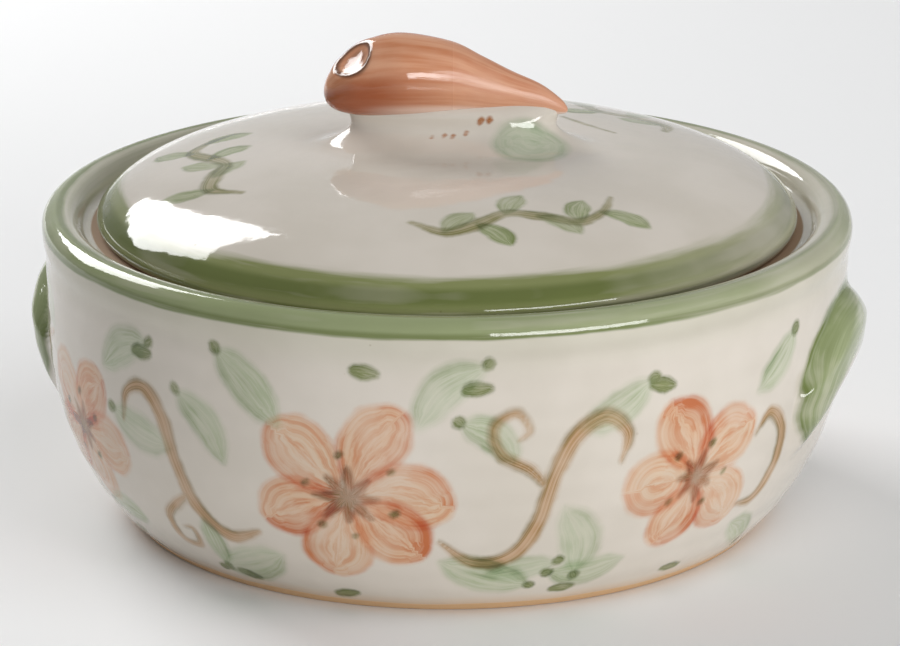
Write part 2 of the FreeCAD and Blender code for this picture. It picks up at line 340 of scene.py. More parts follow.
def skin(name, loops, material):
    """A closed mesh over loops of points."""
    rows, columns = loops.shape[:2]
    points = closing(loops) * MM
    index = 1 + np.arange((rows - 2) * columns).reshape(rows - 2, columns)
    following = np.roll(index, -1, axis=1)
    quads = np.stack([index[:-1], following[:-1], following[1:], index[1:]], -1).reshape(-1, 4)
    last = len(points) - 1
    first_fan = np.stack([np.zeros(columns, int), following[0], index[0]], -1)
    last_fan = np.stack([np.full(columns, last), index[-1], following[-1]], -1)
    faces = quads.tolist() + first_fan.tolist() + last_fan.tolist()
    return smooth_mesh(name, points.tolist(), faces, material)


def facing_out(mesh):
    """Turns the mesh's faces round if they point inwards."""
    mesh.calc_loop_triangles()
    points = coordinates(mesh)
    corners = np.zeros(len(mesh.loop_triangles) * 3, int)
    mesh.loop_triangles.foreach_get("vertices", corners)
    a, b, c = points[corners.reshape(-1, 3)].transpose(1, 0, 2)
    if np.einsum("ij,ij->i", a, np.cross(b, c)).sum() < 0:
        mesh.flip_normals()
    return mesh


def coordinates(mesh):
    """The mesh's points in millimetres."""
    flat = np.zeros(len(mesh.vertices) * 3)
    mesh.vertices.foreach_get("co", flat)
    return flat.reshape(-1, 3) / MM


def keep(mesh, name, vectors):
    """Stores three numbers for each point of the mesh, for its material to read."""
    store = mesh.attributes.new(name, "FLOAT_VECTOR", "POINT")
    store.data.foreach_set("vector", np.asarray(vectors, np.float32).ravel())


def piece(name, mesh, node):
    """Puts a finished mesh in the scene in place of a node of the construction."""
    made = in_scene(name, mesh)
    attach(made, "root")
    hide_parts(node)
    return made


def smoothstep(value, low, high):
    t = np.clip((value - low) / (high - low), 0, 1)
    return t * t * (3 - 2 * t)


def softly_above(value, softness):
    """The larger of the value and nothing, with the corner between them rounded."""
    return softness * np.logaddexp(0, value / softness)


# Painting: strokes of a loaded brush, laid out on a flat sheet and wrapped on the pot

# Past this distance outside a stroke, in mm, nothing of it shows
FAR = 4.0
# Where on the sheet the faces that carry no painting are put
OFF_SHEET = 400.0


class Sheet:
    """Strokes grouped by the layer that they are painted in."""

    def __init__(self, wrap=None):
        self.wrap = wrap
        self.strokes = {}

    def stroke(self, layer, points, widths, count=28):
        """A stroke through the points, with the brush's half widths from start to end."""
        line = rounded(np.array(points, float), count)
        places = np.linspace(0, 1, len(widths))
        half = np.interp(np.linspace(0, 1, len(line)), places, widths)
        self.strokes.setdefault(layer, []).append((line, half))

    def read(self, layer, where):
        """For each place: distance outside the nearest stroke, how far along it, and how
        far across it. Each stroke's across values start from a number of its own."""
        found = np.zeros((len(where), 3))
        found[:, 0] = FAR
        for number, (line, half) in enumerate(self.strokes.get(layer, [])):
            centre = (line.min(0) + line.max(0)) / 2
            room = (line.max(0) - line.min(0)) / 2 + half.max() + FAR
            away = where - centre
            if self.wrap:
                away[:, 0] = (away[:, 0] + self.wrap / 2) % self.wrap - self.wrap / 2
            near = np.flatnonzero((np.abs(away) < room).all(1))
            if len(near) == 0:
                continue
            outside, along, across = nearest(away[near] + centre, line, half)
            closer = outside < found[near, 0]
            hit = near[closer]
            read = np.column_stack([outside, along, across + 5.0 * number])
            found[hit] = read[closer]
        return found


def rounded(points, count):
    """A smooth line through the points."""
    if len(points) < 3:
        t = np.linspace(0, 1, count)[:, None]
        return points[0] * (1 - t) + points[-1] * t
    ends = np.vstack([2 * points[0] - points[1], points, 2 * points[-1] - points[-2]])
    places = np.linspace(0, len(points) - 1.0001, count)
    k = places.astype(int)
    t = (places - k)[:, None]
    a, b, c, d = (ends[k + step] for step in range(4))
    bend, twist = 2 * a - 5 * b + 4 * c - d, 3 * b - a - 3 * c + d
    return 0.5 * (2 * b + (c - a) * t + bend * t**2 + twist * t**3)


def nearest(where, line, half):
    """Distance outside a stroke, share of the way along it and across it, for each place."""
    best = np.full(len(where), 1e9)
    along = np.zeros(len(where))
    across = np.zeros(len(where))
    steps = np.diff(line, axis=0)
    for k, step in enumerate(steps):
        offset = where - line[k]
        length = max(float(step @ step), 1e-9)
        t = np.clip(offset @ step / length, 0, 1)
        rest = offset - t[:, None] * step
        apart = np.hypot(rest[:, 0], rest[:, 1])
        width = half[k] * (1 - t) + half[k + 1] * t
        outside = apart - width
        closer = outside < best
        side = np.sign(step[0] * rest[:, 1] - step[1] * rest[:, 0])
        best[closer] = outside[closer]
        along[closer] = (k + t[closer]) / len(steps)
        across[closer] = (side * apart / np.maximum(width, 0.3))[closer]
    return np.minimum(best, FAR), along, across


def polar(centre, distance, degrees):
    """A place at a distance and direction from the centre, on the flat sheet."""
    angle = math.radians(degrees)
    return (centre[0] + distance * math.cos(angle), centre[1] + distance * math.sin(angle))


def paint_flower(sheet, centre, radius, petals, turn, random):
    """An open flower: broad petals in two layers, a heart of short dark touches and a ring
    of dots."""
    for k in range(petals):
        angle = turn + 360 * k / petals + random.uniform(-6, 6)
        reach = radius * random.uniform(0.9, 1.08)
        wide = radius * 2.1 / petals * random.uniform(0.92, 1.1)
        bend = random.uniform(-9, 9)
        layer = "petal_first" if k % 2 == 0 else "petal_second"
        line = [
            polar(centre, 0.14 * radius, angle - 0.4 * bend),
            polar(centre, 0.5 * reach, angle),
            polar(centre, 0.78 * reach, angle + bend),
        ]
        widths = [share * wide for share in (0.12, 0.55, 0.9, 1.0, 0.7)]
        # One petal in three is drawn from its tip, so that its loaded side lies opposite
        way = -1 if k % 3 == 1 else 1
        sheet.stroke(layer, line[::way], widths[::way], 18)
    for k in range(petals + 2):
        angle = turn + 18 + 360 * k / (petals + 2)
        start = polar(centre, 0.03 * radius, angle)
        end = polar(centre, radius * random.uniform(0.24, 0.36), angle + 14)
        sheet.stroke("heart", [start, end], [1.9, 1.7, 0.7], 5)
    for k in range(petals):
        angle = turn + 30 + 360 * k / petals + random.uniform(-8, 8)
        dot = polar(centre, radius * random.uniform(0.42, 0.5), angle)
        sheet.stroke("dab", [dot, (dot[0] + 0.8, dot[1] + 0.6)], [1.0, 0.9], 3)


def paint_leaf(sheet, base, angle, length, layer, random):
    """A leaf in one press of a wide wet brush, with a dark touch at its tip."""
    bend = random.uniform(-16, 16)
    middle = polar(base, 0.5 * length, angle)
    tip = polar(base, length, angle + bend)
    wide = length * random.uniform(0.22, 0.27)
    sheet.stroke(layer, [base, middle, tip], [0.7, 0.8 * wide, wide, 0.8 * wide, 0.5], 20)
    sheet.stroke("dab", [tip, polar(base, length * 1.07, angle + bend)], [1.5, 2.0, 0.9], 5)


# The dish's painting: round the pot it repeats on the far side, between the lugs. Across
# is to the right, in millimetres from the camera's side of the pot, and here from the
# middle of a face. Up is the height along the wall, which is 0 at the lip

GIRTH = math.tau * WALL_RADIUS
FRONT = math.radians(-90 + CAMERA_TURN)
FACE_MIDDLE = -CAMERA_TURN / 360 * GIRTH
FACE = GIRTH / 2
LUG_MIDDLE = FACE_MIDDLE + FACE / 2

# Each vine: its half widths, and the points that it goes through
VINES = (
    (
        (0.5, 1.6, 2.3, 2.7, 2.4, 2.7, 2.5, 0.9),
        ((-77, -36), (-75, -27), (-67, -24), (-60, -31)),
        ((-56, -44), (-51, -58), (-41, -66), (-30, -62)),
    ),
    (
        (0.8, 2.3, 2.8, 2.5, 2.3, 2.7, 2.6, 1.8, 0.5),
        ((26, -60), (36, -68), (47, -66), (54, -55), (58, -40)),
        ((64, -28), (73, -23), (80, -29), (78, -37)),
    ),
    (
        (0.7, 2.2, 2.5, 2.3, 1.7, 0.5),
        ((-127, -24), (-136, -29), (-141, -40)),
        ((-138, -52), (-130, -55), (-126, -49)),
    ),
    (
        (0.7, 2.1, 2.5, 2.3, 1.7, 0.5),
        ((126, -62), (134, -62), (140, -53)),
        ((140, -41), (133, -34), (127, -39)),
    ),
)
CURL_WIDTHS = (0.6, 1.7, 1.8, 1.7, 1.4, 1.1, 0.4)
CURLS = (
    ((-53, -54), (-60, -59), (-66, -66), (-64, -74), (-57, -74), (-57, -68), (-61, -68)),
    ((57, -44), (51, -37), (43, -32), (41, -24), (47, -20), (51, -25), (48, -28)),
)
# Each flower: across, up, radius, number of petals and turn
FLOWERS = ((0, -46, 30, 6, 12), (104, -47, 24, 5, 40), (-104, -46, 24, 5, -10))
# Each leaf: across, up, direction and length
LEAVES = (
    (-20, -26, 132, 27), (20, -24, 58, 26), (26, -68, -24, 30), (-24, -70, -150, 30),
    (-50, -62, -84, 19), (-58, -40, 172, 25), (-38, -40, 118, 24), (62, -50, -62, 27),
    (47, -34, 128, 19), (66, -26, 22, 24), (-82, -72, 172, 22), (-86, -22, 40, 24),
    (84, -72, -160, 24), (-128, -66, -70, 19), (127, -26, 30, 22), (-126, -22, 130, 20),
    (128, -70, -30, 22), (40, -74, 12, 22),
)
DABS = (
    (-68, -14), (36, -13), (-42, -83), (66, -83), (5, -8),
    (-6, -86), (90, -16), (-98, -83), (108, -83),
)
# The wash on a lug, from its left end over its top to its right end
LUG_WIDTHS = (6.0, 8.8, 9.4, 9.6, 9.8, 9.6, 9.4, 8.8, 6.0)
LUG_ARCH = (
    (-29, -45), (-31, -38), (-26, -28), (-14, -21.5), (0, -20),
    (14, -21.5), (26, -28), (31, -38), (29, -45),
)


def dish_painting():
    """The frieze: flowers, vines and leaves on both faces, and the washes on the lugs."""
    sheet = Sheet(wrap=GIRTH)
    random = np.random.default_rng(11)

    def moved(points, middle):
        return [(middle + x, y) for x, y in points]

    for middle in (FACE_MIDDLE, FACE_MIDDLE + FACE):
        for widths, first_half, second_half in VINES:
            sheet.stroke("vine", moved(first_half + second_half, middle), widths, 70)
        for line in CURLS:
            sheet.stroke("vine", moved(line, middle), CURL_WIDTHS, 48)
        for x, y, size, petals, turn in FLOWERS:
            paint_flower(sheet, (middle + x, y), size, petals, turn, random)
        for k, (x, y, angle, length) in enumerate(LEAVES):
            layer = "leaf_first" if k % 2 == 0 else "leaf_second"
            paint_leaf(sheet, (middle + x, y), angle, length, layer, random)
        for x, y in DABS:
            end = (middle + x + 3.6, y + random.uniform(-3, 3))
            sheet.stroke("dab", [(middle + x - 2.6, y), end], [1.7, 2.5, 1.3], 6)
    for middle in (LUG_MIDDLE, LUG_MIDDLE + FACE):
        sheet.stroke("lug_stroke", moved(LUG_ARCH, middle), LUG_WIDTHS, 60)
    return sheet


WALL_STEPS = np.hypot(*np.diff(OUTER_WALL, axis=0).T)
WALL_ALONG = np.concatenate([[0], np.cumsum(WALL_STEPS)])


def wall_radius(height):
    return np.interp(height, OUTER_WALL[:, 1], OUTER_WALL[:, 0])


def lug_height(turn, height):
    """How far the lugs stand out of the wall, in millimetres."""
    raised = np.full(len(turn), -40.0)
    for side in (0.0, math.pi):
        share = np.degrees((turn - side + math.pi) % math.tau - math.pi) / LUG_HALF_ANGLE
        share = np.clip(np.abs(share), 0, 1.4)
        top, peak, grip = (at - fall * share**2 for at, fall in (LUG_TOP, LUG_PEAK, LUG_GRIP))
        above = np.clip((height - peak) / (top - peak), 0, 3)
        below = np.clip((peak - height) / (peak - grip), 0, 3)
        form = LUG_REACH * (1 - above**1.9 - below**2.6)
        end_fall = (LUG_REACH + 1.9) * share**5.9
        raised = np.maximum(raised, form - end_fall)
    return softly_above(raised, 0.3)


def make_dish(material):
    mesh = thrown("dish", dish_outline(), material)
    points = coordinates(mesh)
    radius = np.hypot(points[:, 0], points[:, 1])
    turn = np.arctan2(points[:, 1], points[:, 0])
    height = points[:, 2]
    outside = (radius > wall_radius(height) - 2.5) & (height > 1.3) & (height < 86.6)
    raised = np.where(outside, lug_height(turn, height), 0.0)
    points[:, :2] *= (1 + raised / np.maximum(radius, 1))[:, None]
    mesh.vertices.foreach_set("co", (points * MM).ravel())
    mesh.update()
    across = (turn - FRONT + math.pi) % math.tau - math.pi
    below_lip = np.interp(height, OUTER_WALL[:, 1], WALL_ALONG) - WALL_ALONG[-1]
    sheet = dish_painting()
    where = np.column_stack([across * WALL_RADIUS, np.where(outside, below_lip, OFF_SHEET)])
    for layer in DISH_LAYERS:
        keep(mesh, layer, sheet.read(layer, where))
    return piece("dish_glazed", facing_out(mesh), "dish")


# The lid


def dome_height(radius):
    """Height of the lid's outside at a distance from the axis."""
    return np.interp(radius, DOME[::-1, 0], DOME[::-1, 1])


EDGE_SIDE = (LID_RADIUS, LID_EDGE_HEIGHT)
DOME = pulled(EDGE_SIDE, (LID_RADIUS, 95.4), (88.5, 110.2), (24.0, DOME_TOP), 160)
# A flat stretch just above the edge, left by the potter's thumb
THUMBED = joined(
    pulled(EDGE_SIDE, (LID_RADIUS, 90.0), (103.66, 90.2), (103.61, 90.42), 4),
    pulled((103.61, 90.42), (103.53, 90.8), (103.43, 91.2), (103.31, 91.6), 5),
)
DOME = np.vstack([THUMBED, DOME[DOME[:, 1] > 92.7], [[0.0, DOME_TOP + 0.05]]])

# How high up the neck each of its loops lies, as a share of its height
NECK_ROWS = (-0.08, -0.04, 0, 0.03, 0.06, 0.1, 0.14, 0.19, 0.24)
NECK_ROWS += (0.3, 0.37, 0.45, 0.54, 0.64, 0.76, 0.88, 1.0)
# The neck's top, hidden in the fruit: how far in each loop lies, and its height
NECK_TOP = ((-1.2, 11.6), (-3.0, 12.8), (-5.5, 13.6), (-8.2, 13.8))


def turned_on_dish(points):
    angle = math.radians(LID_TURN)
    spun = points.copy()
    spun[..., 0] = math.cos(angle) * points[..., 0] - math.sin(angle) * points[..., 1]
    spun[..., 1] = math.sin(angle) * points[..., 0] + math.cos(angle) * points[..., 1]
    return spun


def neck_loop(cosine, sine, offset):
    """An oval round the neck, wider all round by the offset."""
    x = NECK_MIDDLE + (NECK_HALF_LENGTH + offset) * cosine
    y = (NECK_HALF_WIDTH + offset) * sine
    return x, y


def lid_loops():
    """Loops from the middle of the lid's underside, over its edge, up to the neck's top."""
    angle = np.linspace(0, math.tau, LID_COLUMNS, endpoint=False)
    cosine, sine = np.cos(angle), np.sin(angle)
    seat_in, seat_out = LID_SEAT
    middle = (40, LID_UNDERSIDE)
    inside = (LID_INSIDE, 88.0)
    under = joined(
        straight((0, LID_UNDERSIDE), middle, 4),
        pulled(middle, (84, 104.8), (LID_INSIDE, 92.6), inside, 16),
        pulled(inside, (LID_INSIDE, 87.3), (95.8, 87.0), (seat_in, LEDGE_HEIGHT), 3),
        straight((seat_in, LEDGE_HEIGHT), (seat_out, LEDGE_HEIGHT), 3),
        arc((LID_RADIUS - LID_EDGE, LID_EDGE_HEIGHT), LID_EDGE, -90, 0, 7),
    )
    shoulder = DOME[len(THUMBED) - 1 : -1]
    over = joined(evened(THUMBED, 0.32), evened(shoulder, 1.1))[1:]
    # From 76 mm inwards the loops turn from circles into the neck's oval
    over = over[: np.argmax(over[:, 0] < 76)]
    loops = [
        np.column_stack([r * cosine, r * sine, np.full_like(angle, z)])
        for r, z in np.vstack([under, over])
    ]
    start = over[-1, 0]
    inner_x, inner_y = neck_loop(cosine, sine, NECK_REACH)
    for share in np.linspace(0, 1, 40)[1:]:
        x = (1 - share) * start * cosine + share * inner_x
        y = (1 - share) * start * sine + share * inner_y
        loops.append(np.column_stack([x, y, dome_height(np.hypot(x, y))]))
    for share in NECK_ROWS:
        halfway = max(0.0, math.sin(math.pi * min(max(share, 0), 1)))
        x, y = neck_loop(cosine, sine, NECK_FLARE * (1 - share) ** 3 - 1.5 * halfway**2)
        # The neck swells a little under the fruit's thin end
        swell = np.exp(-(((x - 23) / 11) ** 2)) * 3.2 * halfway**0.8
        y = y + swell * sine
        rise = softly_above(NECK_HEIGHT * share, 0.55)
        loops.append(np.column_stack([x, y, dome_height(np.hypot(x, y)) + rise]))
    for offset, rise in NECK_TOP:
        x, y = neck_loop(cosine, sine, offset)
        loops.append(np.column_stack([x, y, np.full_like(angle, DOME_TOP + rise)]))
    return np.array(loops)


# Each leaf sprig: the direction of its middle, and the way that it grows
SPRIGS = ((-72, 1), (-172, -1), (48, 1))
SPRIG_WIDTHS = (0.9, 2.5, 2.9, 2.1, 2.7, 2.2, 1.5, 0.5)
# Iron specks on the front of the knob's neck
FRECKLES = ((-4.7, -5.8), (-1.2, -5.2), (1.4, -5.6), (5.4, -4.4), (9.6, -0.8), (12.2, -0.4))


def lid_painting():
    """Leaf sprigs round the lid, and the washes at the knob. Laid out on the lid as seen
    from above, with the knob along the first direction."""
    sheet = Sheet()
    for turn, way in SPRIGS:
        angles = [turn + way * (7.5 * k - 26) for k in range(8)]
        stem = [polar((0, 0), 71 + 5 * math.sin(1.5 * k), angles[k]) for k in range(8)]
        sheet.stroke("sprig", stem, SPRIG_WIDTHS, 60)
        for k in range(1, 7):
            side = 1 if k % 2 else -1
            direction = angles[k] + way * 90 + side * 56
            line = [stem[k], polar(stem[k], 7, direction + 9), polar(stem[k], 13.5, direction)]
            sheet.stroke("sprig_leaf", line, [0.9, 3.3, 3.9, 0.8], 12)
    sheet.stroke("knob_wash", [(22, -8.5), (24.5, -9.5), (27, -8.5)], [8.8, 10.8, 8.8], 12)
    sheet.stroke("sprig", [(35, 33), (38, 29), (44.5, 21), (50, 16)], [0.9, 0.9, 0.8, 0.4], 14)
    for x, y in FRECKLES:
        sheet.stroke("freckle", [(x, y), (x + 0.5, y + 0.7)], [0.75, 0.9], 3)
    return sheet


def make_lid(material):
    loops = lid_loops()
    mesh = skin("lid", turned_on_dish(loops), material)
    flat = closing(loops)
    rise = flat[:, 2] - dome_height(np.hypot(flat[:, 0], flat[:, 1]))
    # The neck's sides are steep, so there the height counts towards the sheet's up too
    up = flat[:, 1] - 0.9 * np.maximum(rise, 0) * np.sign(flat[:, 1])
    where = np.column_stack([np.where(rise > -1, flat[:, 0], OFF_SHEET), up])
    sheet = lid_painting()
    for layer in LID_LAYERS:
        keep(mesh, layer, sheet.read(layer, where))
    return piece("lid_glazed", facing_out(mesh), "lid")


# The fruit: place along the knob, height of its middle and radius, end to end
FRUIT_LINE = np.array(
    [
        (-36.3, 6.9, 0.0), (-36.0, 7.0, 2.0), (-34.8, 7.4, 4.6), (-31.6, 8.7, 7.6),
        (-25.5, 10.7, 10.6), (-14.4, 12.1, 12.2), (0.9, 10.9, 11.0), (10.5, 8.6, 8.7),
        (19.0, 6.5, 6.4), (27.5, 4.5, 4.5), (33.2, 2.4, 2.4), (35.2, 1.4, 1.0),
        (35.6, 1.1, 0.0),
    ]
)
# The blossom end's hollow: its middle, the way that it faces, its radius and depth, and
# the radius, width and height of its rim
HOLLOW = np.array([-28.4, -4.0, FRUIT_BASE + 18.6])
HOLLOW_FACING = np.array([-0.72, -0.17, 0.673])
HOLLOW_RADIUS = 6.2
HOLLOW_DEPTH = 2.7
HOLLOW_RIM = (7.4, 1.6, 0.3)


def make_fruit(material):
    line = rounded(FRUIT_LINE, FRUIT_ROWS)
    line[:, 2] = np.maximum(line[:, 2], 0)
    angle = np.linspace(0, math.tau, FRUIT_COLUMNS, endpoint=False)
    cosine, sine = np.cos(angle), np.sin(angle)
    x = np.repeat(line[:, :1], FRUIT_COLUMNS, 1)
    # The lower half of the section is fuller than round, as if it had settled on the neck
    full = np.where(sine < 0, 0.8, 1.0)
    # Seen from above, the stem's half is a little slimmer than from the side
    slim = 1 - 0.18 * smoothstep(line[:, :1], -16, 8)
    y = slim * line[:, 2:] * np.sign(cosine) * np.abs(cosine) ** full
    z = FRUIT_BASE + line[:, 1:2] + line[:, 2:] * sine
    loops = np.stack([x, y, z], -1)
    away = loops - HOLLOW
    depth = away @ HOLLOW_FACING
    beside = np.linalg.norm(away - depth[..., None] * HOLLOW_FACING, axis=-1)
    beside = np.where(depth > -6, beside, 99)
    rim_radius, rim_width, rim_height = HOLLOW_RIM
    press = rim_height * np.exp(-(((beside - rim_radius) / rim_width) ** 2))
    press -= softly_above(HOLLOW_DEPTH * (1 - (beside / HOLLOW_RADIUS) ** 2), 0.2)
    loops = loops + press[..., None] * HOLLOW_FACING
    mesh = skin("fruit", turned_on_dish(loops), material)
    along = np.repeat(np.linspace(0, 1, len(line))[:, None], FRUIT_COLUMNS, 1)
    sides = [np.broadcast_to(side, along.shape) for side in (cosine, sine)]
    keep(mesh, "grain", closing(np.stack([along, *sides], -1)))
    keep(mesh, "hollow", closing(np.stack([beside] * 3, -1)))
    return piece("fruit_glazed", facing_out(mesh), "knob")


# Materials

GLAZE = "#D9D3C9"
DISH_LAYERS = ("leaf_first", "leaf_second", "vine", "petal_first", "petal_second")
DISH_LAYERS += ("heart", "dab", "lug_stroke")
LID_LAYERS = ("sprig_leaf", "sprig", "knob_wash", "freckle")

# Each layer: ink, deeper ink, and the shares in this order, with the softness in mm
SHARES = ("Strength", "Softness", "Streaks", "Edge", "Loaded Side", "Rib")
LAYERS = {
    "leaf_first": ("#BCC4A9", "#8A9A72", 0.95, 1.7, 0.28, 0.12, 0.6, 0.35),
    "leaf_second": ("#C2C9B1", "#93A17C", 0.9, 1.9, 0.28, 0.1, 0.6, 0.3),
    "vine": ("#C59B70", "#857142", 1.0, 1.3, 0.45, 0.2, 0.4, 0.0),
    "petal_first": ("#E3BD9F", "#C67A4C", 0.95, 1.3, 0.5, 0.16, 0.42, 0.1),
    "petal_second": ("#DFB38F", "#BF6C3E", 0.95, 1.3, 0.55, 0.16, 0.48, 0.1),
    "heart": ("#A7744D", "#6C6039", 1.0, 1.1, 0.4, 0.3, 0.2, 0.0),
    "dab": ("#8A9160", "#5C6836", 1.1, 0.9, 0.3, 0.3, 0.3, 0.0),
    "lug_stroke": ("#A0AB83", "#6E7C47", 1.1, 1.8, 0.36, 0.2, 0.5, 0.0),
    "sprig_leaf": ("#A3AC84", "#78854F", 1.0, 1.0, 0.4, 0.2, 0.4, 0.15),
    "sprig": ("#9A9160", "#6A6E38", 1.0, 1.0, 0.5, 0.25, 0.3, 0.0),
    "knob_wash": ("#B4C0A6", "#90A184", 0.9, 2.0, 0.3, 0.3, 0.2, 0.0),
    "freckle": ("#B4733C", "#8A5226", 1.0, 0.5, 0.2, 0.3, 0.0, 0.0),
}


def over_glaze(seen):
    """The ink that gives the seen colour when its wash lies over the glaze."""
    wanted, under = linear(seen), linear(GLAZE)
    return [min(1.0, a / b) for a, b in zip(wanted[:3], under[:3])] + [1.0]


def zone(tree, *borders):
    """How far a place lies inside all of the soft borders, from 0 to 1. A border is a value
    with its start and end, and where given the two amounts that it runs between."""
    steps = []
    for value, start, end, *amounts in borders:
        lowest, highest = amounts or (0.0, 1.0)
        border = (value, start, end, lowest, highest)
        steps.append(add(tree, RANGE, border, interpolation_type="SMOOTHSTEP"))
    inside = steps[0]
    for step in steps[1:]:
        inside = add(tree, MATHS, (inside, step), operation="MULTIPLY")
    return inside


def washed(tree, colour, washes, blend="MIX"):
    """The colour under washes. A wash is where it lies, its share and its own colour."""
    for spread, share, own in washes:
        amount = add(tree, MATHS, (spread, share), operation="MULTIPLY")
        layers = {0: amount, 6: colour, 7: own}
        colour = add(tree, MIX, layers, data_type="RGBA", blend_type=blend)
    return colour


def brush_tree():
    """One layer of strokes over what is under it. Each stroke is a wet wash that runs
    from its ink to a deeper one in the brush's streaks, on its loaded side, along its
    rib and where it pooled at the edge."""
    tree = bpy.data.node_groups.new("brush stroke", "ShaderNodeTree")
    for kind, names in (
        ("NodeSocketColor", ("Under", "Ink", "Deep Ink")),
        ("NodeSocketVector", ("Stroke", "Place")),
        ("NodeSocketFloat", SHARES),
    ):
        for name in names:
            tree.interface.new_socket(name=name, in_out="INPUT", socket_type=kind)
    tree.interface.new_socket(name="Color", in_out="OUTPUT", socket_type="NodeSocketColor")
    given = add(tree, "NodeGroupInput").outputs

    part = add(tree, SPLIT, (given["Stroke"],)).outputs
    across = add(tree, MATHS, (part["Z"], 2.5, -2.5), operation="WRAP")
    # The edge wanders by about a millimetre over some 6 mm
    waver = add(tree, NOISE, {"Vector": given["Place"], "Scale": 160.0, "Detail": 3.0})
    waver = add(tree, MATHS, (waver, 0.5), operation="SUBTRACT")
    outside = add(tree, MATHS, (waver, 2.0, part["X"]), operation="MULTIPLY_ADD")
    inner = add(tree, MATHS, (given["Softness"], -1.0), operation="MULTIPLY")
    cover = zone(tree, (outside, given["Softness"], inner))
    pool_start = add(tree, MATHS, (inner, 1.6), operation="SUBTRACT")
    pool_end = add(tree, MATHS, (inner, 0.3), operation="MULTIPLY")
    edge = zone(tree, (outside, pool_start, pool_end))
    # The hairs of the brush leave streaks along the stroke, and the water leaves clouds
    hair = add(tree, MATHS, (part["Z"], 4.2), operation="MULTIPLY")
    run = add(tree, MATHS, (part["Y"], 1.3), operation="MULTIPLY")
    drawn = add(tree, JOIN, {"X": hair, "Y": run, "Z": 0.0})
    hairs = {"Vector": drawn, "Scale": 1.0, "Detail": 4.0, "Roughness": 0.65}
    hairs = add(tree, NOISE, hairs)
    cloud = add(tree, NOISE, {"Vector": given["Place"], "Scale": 70.0, "Detail": 2.0})
    side = zone(tree, (across, 0.0, 1.0))
    off_middle = add(tree, MATHS, (across,), operation="ABSOLUTE")
    rib = zone(tree, (off_middle, 0.2, 0.02), (part["Y"], 0.95, 0.6))
    streak = zone(tree, (hairs, 0.36, 0.66))
    deep = add(tree, MATHS, (given["Streaks"], streak), operation="MULTIPLY")
    for name, spread in (("Edge", edge), ("Loaded Side", side), ("Rib", rib)):
        more = (given[name], spread, deep)
        deep = add(tree, MATHS, more, operation="MULTIPLY_ADD")
    uneven = zone(tree, (cloud, 0.28, 0.72, 0.6, 1.3))
    deep = add(tree, MATHS, (deep, uneven), operation="MULTIPLY", use_clamp=True)
    inks = {0: deep, 6: given["Ink"], 7: given["Deep Ink"]}
    ink = add(tree, MIX, inks, data_type="RGBA")
    load = zone(tree, (cloud, 0.28, 0.72, 0.75, 1.1), (hairs, 0.36, 0.66, 0.8, 1.1))
    load = add(tree, MATHS, (given["Strength"], load), operation="MULTIPLY")
    wash = add(tree, MATHS, (cover, load), operation="MULTIPLY", use_clamp=True)
    layers = {0: wash, 6: given["Under"], 7: ink}
    result = add(tree, MIX, layers, data_type="RGBA", blend_type="MULTIPLY")
    add(tree, "NodeGroupOutput", {"Color": result})
    return tree


def painted(tree, brush, where, under, layers):
    """The colour of the glaze with each layer of strokes painted on it."""
    colour = under
    for layer in layers:
        ink, deep_ink, *shares = LAYERS[layer]
        stroke = add(tree, "ShaderNodeAttribute", attribute_name=layer).outputs["Vector"]
        values = {"Under": colour, "Stroke": stroke, "Place": where}
        values |= {"Ink": over_glaze(ink), "Deep Ink": over_glaze(deep_ink)}
        values |= dict(zip(SHARES, shares))
        colour = add(tree, "ShaderNodeGroup", values, node_tree=brush)
    return colour


def empty_material(name):
    material = bpy.data.materials.new(name)
    material.use_nodes = True
    material.node_tree.nodes.clear()
    return material


def under_gloss(tree, colour, rough, relief, strength, distance):
    """Ends a material with a clear gloss glaze over its colour and its relief."""
    waves = {"Height": relief, "Strength": strength, "Distance": distance}
    bump = add(tree, "ShaderNodeBump", waves)
    gloss = {"Base Color": colour, "Roughness": rough, "Normal": bump, "IOR": 1.52}
    shader = add(tree, "ShaderNodeBsdfPrincipled", gloss)
    add(tree, "ShaderNodeOutputMaterial", {"Surface": shader})


def lip_band(tree, height, radius, waver):
    """The green on the lip: how much there is, where it pooled, and the bare ledge that the lid
    rests on, whose clay is painted darker as shade in the gap.
    """
    up = add(tree, MATHS, (height, waver), operation="ADD")
    out = add(tree, MATHS, (radius, waver), operation="ADD")
    # From under the lip's widest line over its crest, and thinner down the gallery
    crest = zone(tree, (up, 87.2, 88.5), (out, 112.6, 114.8))
    gallery_foot, gallery_top = (radius, 106.6, 108.4), (radius, 114.8, 112.6, 0.0, 0.36)
    slope = zone(tree, gallery_foot, (height, 86.5, 87.2), gallery_top)
    amount = add(tree, MATHS, (crest, slope), operation="ADD")
    pool = zone(tree, (radius, 112.8, 114.0), (radius, 116.2, 115.0))
    rim = zone(tree, (radius, 118.6, 119.4), (height, 90.4, 89.0))
    pool = add(tree, MATHS, (pool, rim), operation="MAXIMUM")
    pool = add(tree, MATHS, (pool, zone(tree, (up, 87.2, 88.5))), operation="MULTIPLY")
    return amount, pool, zone(tree, (radius, 105.9, 105.1), (height, 85.9, 86.5))


def edge_band(tree, height, radius, sweep):
    """The green on the lid's edge, in the same three values as for the lip."""
    out = add(tree, MATHS, (sweep, 5.0, radius), operation="MULTIPLY_ADD")
    # Up the rolled edge and some 8 mm of the dome, deepest above the edge and below it
    pool = zone(tree, (radius, 98.3, 100.6), (height, 90.6, 93.6))
    low = zone(tree, (height, 90.8, 89.7))
    pool = add(tree, MATHS, (pool, low), operation="MAXIMUM")
    return zone(tree, (out, 96.5, 101.1)), pool, zone(tree, (height, 88.4, 87.8))


